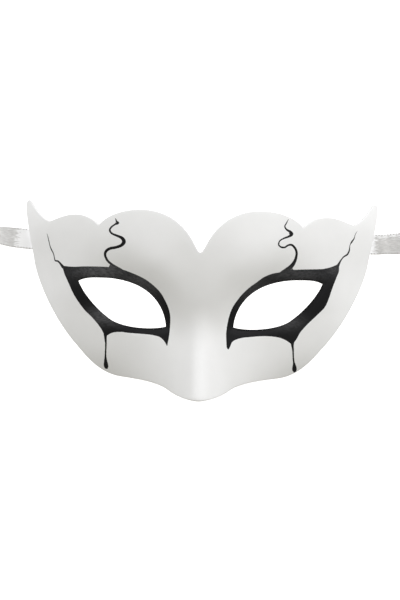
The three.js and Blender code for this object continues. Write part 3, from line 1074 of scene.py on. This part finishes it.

# %% [markdown]
# Polyester satin: long floats of bright yarn run along the ribbon and catch the light in soft flecks,
# which are painted into its colour as lighter and darker tone over a random mottle. The two selvages
# are woven tight, which shows as a row of small dashes. Where the ribbon bends down to the table the
# floats face the light; there, beside the mask, and along one edge, an almost white highlight is
# painted into the colour as well. Real threads lie about 0.15 mm apart, too fine for the picture, so
# the flecks are drawn 0.6 mm wide.

# %% Satin ribbon material
SATIN = "#E0DFDD"
SATIN_SHADE = "#BDBCBA"
SATIN_PAINTED_HIGHLIGHT = "#FAFAFA"
FLECK = 0.6
FLECK_LENGTH = 2.4
MOTTLE = 5.0
BRIGHT_NOISE = (0.36, 0.66)
SHINE_BREAKUP = 12.0
SHINE_EDGE = (4.5, 8.0)
SELVAGE_DASH = 1.6
SELVAGE_EDGE = 0.15
DASH_WAVE = (-0.4, 0.6)
SATIN_ROUGHNESS = 0.24
FLECK_ROUGHNESS = 0.25
POLYESTER_IOR = 1.55
SATIN_SHEEN = 0.2
DASH_DEPTH = -0.5
WEAVE_HEIGHT = 0.12 * MM
WEAVE_RELIEF = 0.5

satin, tree, surface = new_material("polyester_satin")
along = read_number(tree, "along_mm")
across = read_number(tree, "across_mm")
long_way = calculate(tree, "MULTIPLY", along, FLECK / FLECK_LENGTH)
weave = add_node(tree, "ShaderNodeCombineXYZ", X=long_way, Y=across).outputs[0]
flecks = noise(tree, weave, FLECK, detail=3.0)
flat_place = add_node(tree, "ShaderNodeCombineXYZ", X=along, Y=across).outputs[0]
mottle = noise(tree, flat_place, MOTTLE, detail=3.0)
# The flecks where the floats catch the light are painted glints in the colour, over a random mottle.
mottle_and_glints = spread(tree, mix_numbers(tree, 0.5, mottle, flecks), BRIGHT_NOISE)
yarn_and_glints = mix_colours(tree, mottle_and_glints, linear(SATIN_SHADE), linear(SATIN))

# Painted highlight: where a point lies in that stretch, the satin turns almost white, broken up by
# the flecks.
broken = calculate(tree, "MULTIPLY_ADD", flecks, SHINE_BREAKUP, read_number(tree, "in_painted_highlight"))
painted_highlight_at = spread(tree, broken, SHINE_EDGE, way="SMOOTHSTEP")
with_painted_highlight = mix_colours(tree, painted_highlight_at, yarn_and_glints, linear(SATIN_PAINTED_HIGHLIGHT))

selvage_start = RIBBON_WIDTH / 2 - SELVAGE_WIDTH
from_middle = calculate(tree, "ABSOLUTE", across)
in_selvage = spread(tree, from_middle, (selvage_start, selvage_start + SELVAGE_EDGE))
beat = calculate(tree, "MULTIPLY", along, 2 * math.pi / SELVAGE_DASH)
dash = spread(tree, calculate(tree, "SINE", beat), DASH_WAVE)
dashes = calculate(tree, "MULTIPLY", dash, in_selvage)
marked = mix_colours(tree, dashes, with_painted_highlight, linear(SATIN_SHADE))
tree.links.new(marked, surface.inputs["Base Color"])

rough_satin = calculate(tree, "MULTIPLY_ADD", flecks, FLECK_ROUGHNESS, SATIN_ROUGHNESS)
tree.links.new(rough_satin, surface.inputs["Roughness"])
surface.inputs["IOR"].default_value = POLYESTER_IOR
surface.inputs["Sheen Weight"].default_value = SATIN_SHEEN
thread_height = calculate(tree, "MULTIPLY_ADD", dashes, DASH_DEPTH, flecks)
woven = relief(tree, thread_height, WEAVE_RELIEF, WEAVE_HEIGHT)
tree.links.new(woven, surface.inputs["Normal"])
for piece in ribbons.values():
    piece.data.materials.append(satin)
print("Satin material has", len(tree.nodes), "nodes")

# %% [markdown]
# The table is a plain white light table: it glows, as a catalogue background does, so the eye
# holes read as white. Only the camera sees it. Its glow would otherwise light the mask from below
# and wash out the soft shading of the brows and sockets.

# %% Table
TABLE_SIZE = 3.0
TABLE_COLOUR = "#FFFFFF"
TABLE_GLOW = 1.0
TABLE_ROUGHNESS = 0.9

table = make_piece(
    "table",
    [(x * TABLE_SIZE, y * TABLE_SIZE, 0) for x, y in ((-1, -1), (1, -1), (1, 1), (-1, 1))],
    [(0, 1, 2, 3)],
)
table_top, tree, surface = new_material("white_light_table")
surface.inputs["Base Color"].default_value = linear(TABLE_COLOUR)
surface.inputs["Roughness"].default_value = TABLE_ROUGHNESS
surface.inputs["Emission Color"].default_value = linear(TABLE_COLOUR)
surface.inputs["Emission Strength"].default_value = TABLE_GLOW
table.data.materials.append(table_top)
table.visible_diffuse = False
table.visible_glossy = False
table.visible_shadow = False
print("Table is", 2 * TABLE_SIZE, "m wide")

# %% [markdown]
# The lights are large and soft, like the boxes in a product studio. Two stand beyond the brow, at
# the upper right and the upper left, and a weak one at the right shows the side of the nose and
# cheek. The rest of the room gives an even, faintly warm light.

# %% Lights
LIGHT_DISTANCE = 1.2
LIGHT_SIZE = 0.9
# Each light's direction in the mask's own frame, its power in watts and its colour
LIGHTS = {
    "upper_right": ((0.68, 0.68, 0.26), 8.78, "#F8F9FF"),
    "upper_left": ((-0.68, 0.68, 0.26), 7.57, "#F6F8FF"),
    "right_front": ((0.71, 0.0, 0.71), 1.95, "#F9FCFF"),
}
ROOM_COLOUR = "#FFFDF6"
ROOM_STRENGTH = 0.5


def soft_light(name, direction, power, colour):
    """A square area light, aimed at the middle of the mask."""
    lamp = bpy.data.lights.new(name, "AREA")
    lamp.color = linear(colour)[:3]
    lamp.shape = "SQUARE"
    lamp.size = LIGHT_SIZE
    lamp.energy = power
    light = bpy.data.objects.new(name, lamp)
    bpy.context.scene.collection.objects.link(light)
    way = LYING.to_3x3() @ Vector(direction).normalized()
    light.location = LYING.translation * MM + way * LIGHT_DISTANCE
    light.rotation_mode = "QUATERNION"
    light.rotation_quaternion = way.to_track_quat("Z", "Y")


for name, (direction, power, colour) in LIGHTS.items():
    soft_light(name, direction, power, colour)

world = bpy.data.worlds.new("studio")
world.use_nodes = True
room = world.node_tree.nodes["Background"]
room.inputs["Color"].default_value = linear(ROOM_COLOUR)
room.inputs["Strength"].default_value = ROOM_STRENGTH
bpy.context.scene.world = world
bpy.context.scene.view_settings.view_transform = "Standard"
print(len(LIGHTS), "lights, the strongest", max(power for _, power, _ in LIGHTS.values()), "W")
